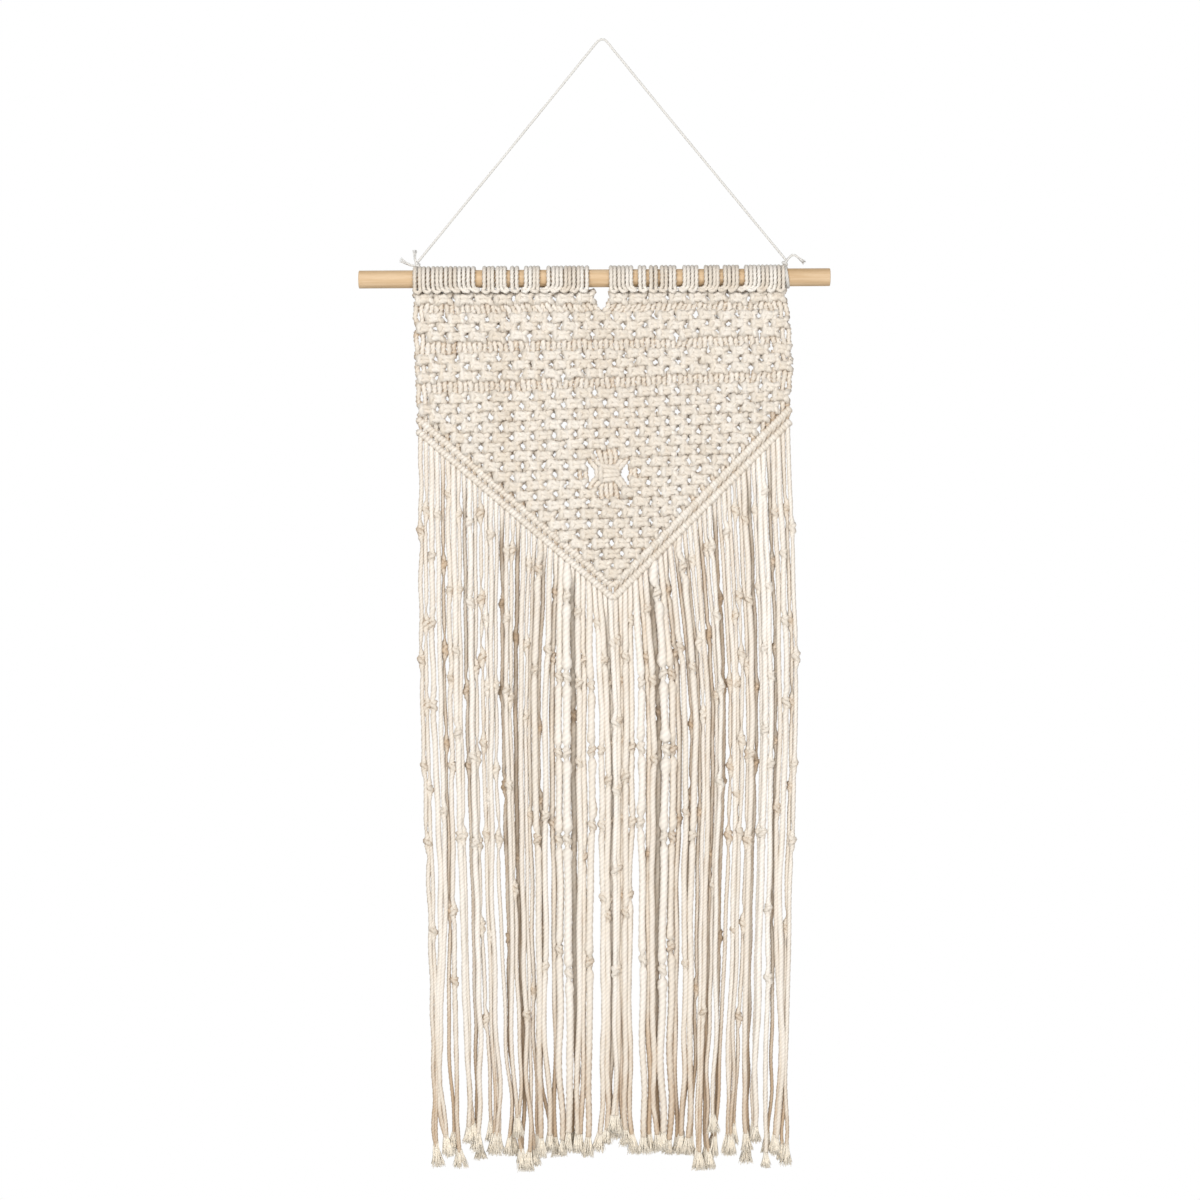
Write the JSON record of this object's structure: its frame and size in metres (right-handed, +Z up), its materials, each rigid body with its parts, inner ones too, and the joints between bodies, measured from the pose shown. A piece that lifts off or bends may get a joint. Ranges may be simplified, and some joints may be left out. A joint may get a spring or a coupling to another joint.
{
  "type": "macrame wall hanging on a wooden dowel",
  "caption": "Cotton macrame wall hanging on a wooden dowel: a knotted panel that ends in a V, a long knotted fringe below it, and a thin hanging cord",
  "frame": {"origin": "the place on the wall hook where the hanging cord passes over it, at the top of the object", "axes": "+Z up, +X to the right along the dowel seen from the front, +Y back to the wall, so the front faces -Y"},
  "size_m": [0.424, 0.0238, 1.0199],
  "materials": {
    "dowel_wood": "sanded and lightly oiled",
    "hanging_string": "twisted cotton",
    "cotton_cord": "twisted unbleached cotton"
  },
  "bodies": {
    "root": {"dowel": "dowel_wood", "hanging_cord": "hanging_string", "tie_left": "hanging_string", "tie_right": "hanging_string", "heading_left": "cotton_cord", "heading_right": "cotton_cord", "panel": "cotton_cord", "hitch_bar": "cotton_cord", "fringe_left": "cotton_cord", "fringe_right": "cotton_cord"}
  },
  "joints": []
}
